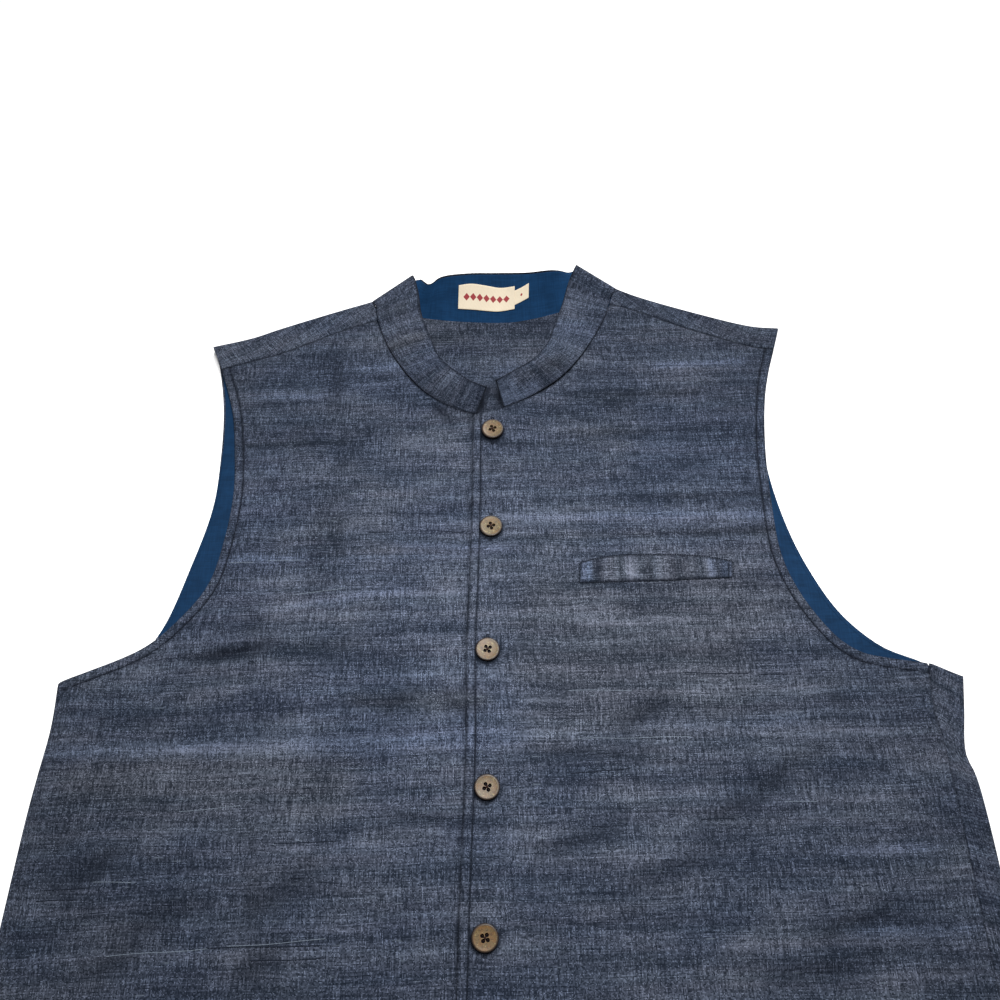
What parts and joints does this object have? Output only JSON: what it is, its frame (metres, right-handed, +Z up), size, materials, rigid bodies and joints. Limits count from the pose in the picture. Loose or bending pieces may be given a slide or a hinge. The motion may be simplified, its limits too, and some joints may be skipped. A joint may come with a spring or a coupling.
{
  "type": "nehru jacket",
  "caption": "Sleeveless band-collar waistcoat jacket in slub cloth, buttoned and laid flat on its back, with a welt pocket and lined neck.",
  "frame": {"origin": "on the surface the jacket lies on, under the middle of its outline", "axes": "+X to the wearer's left, +Y from the hem to the collar, +Z up from the surface, out of the fronts"},
  "size_m": [0.6491, 0.7382, 0.0299],
  "materials": {
    "shell": "matte slub plain weave, blue-grey",
    "lining": "smooth plain-weave lining, deep blue",
    "button": "satin coconut shell",
    "label": "matte woven tape, cream"
  },
  "bodies": {
    "root": {"back": "shell", "back_lining": "lining", "neck_facing": "shell", "front_right": "shell", "front_left": "shell", "pocket_welt": "shell", "collar_outer": "shell", "collar_inner": "lining", "label": "label", "size_tab": "label", "button_1": "button", "button_2": "button", "button_3": "button", "button_4": "button", "button_5": "button", "button_6": "button"}
  },
  "joints": []
}
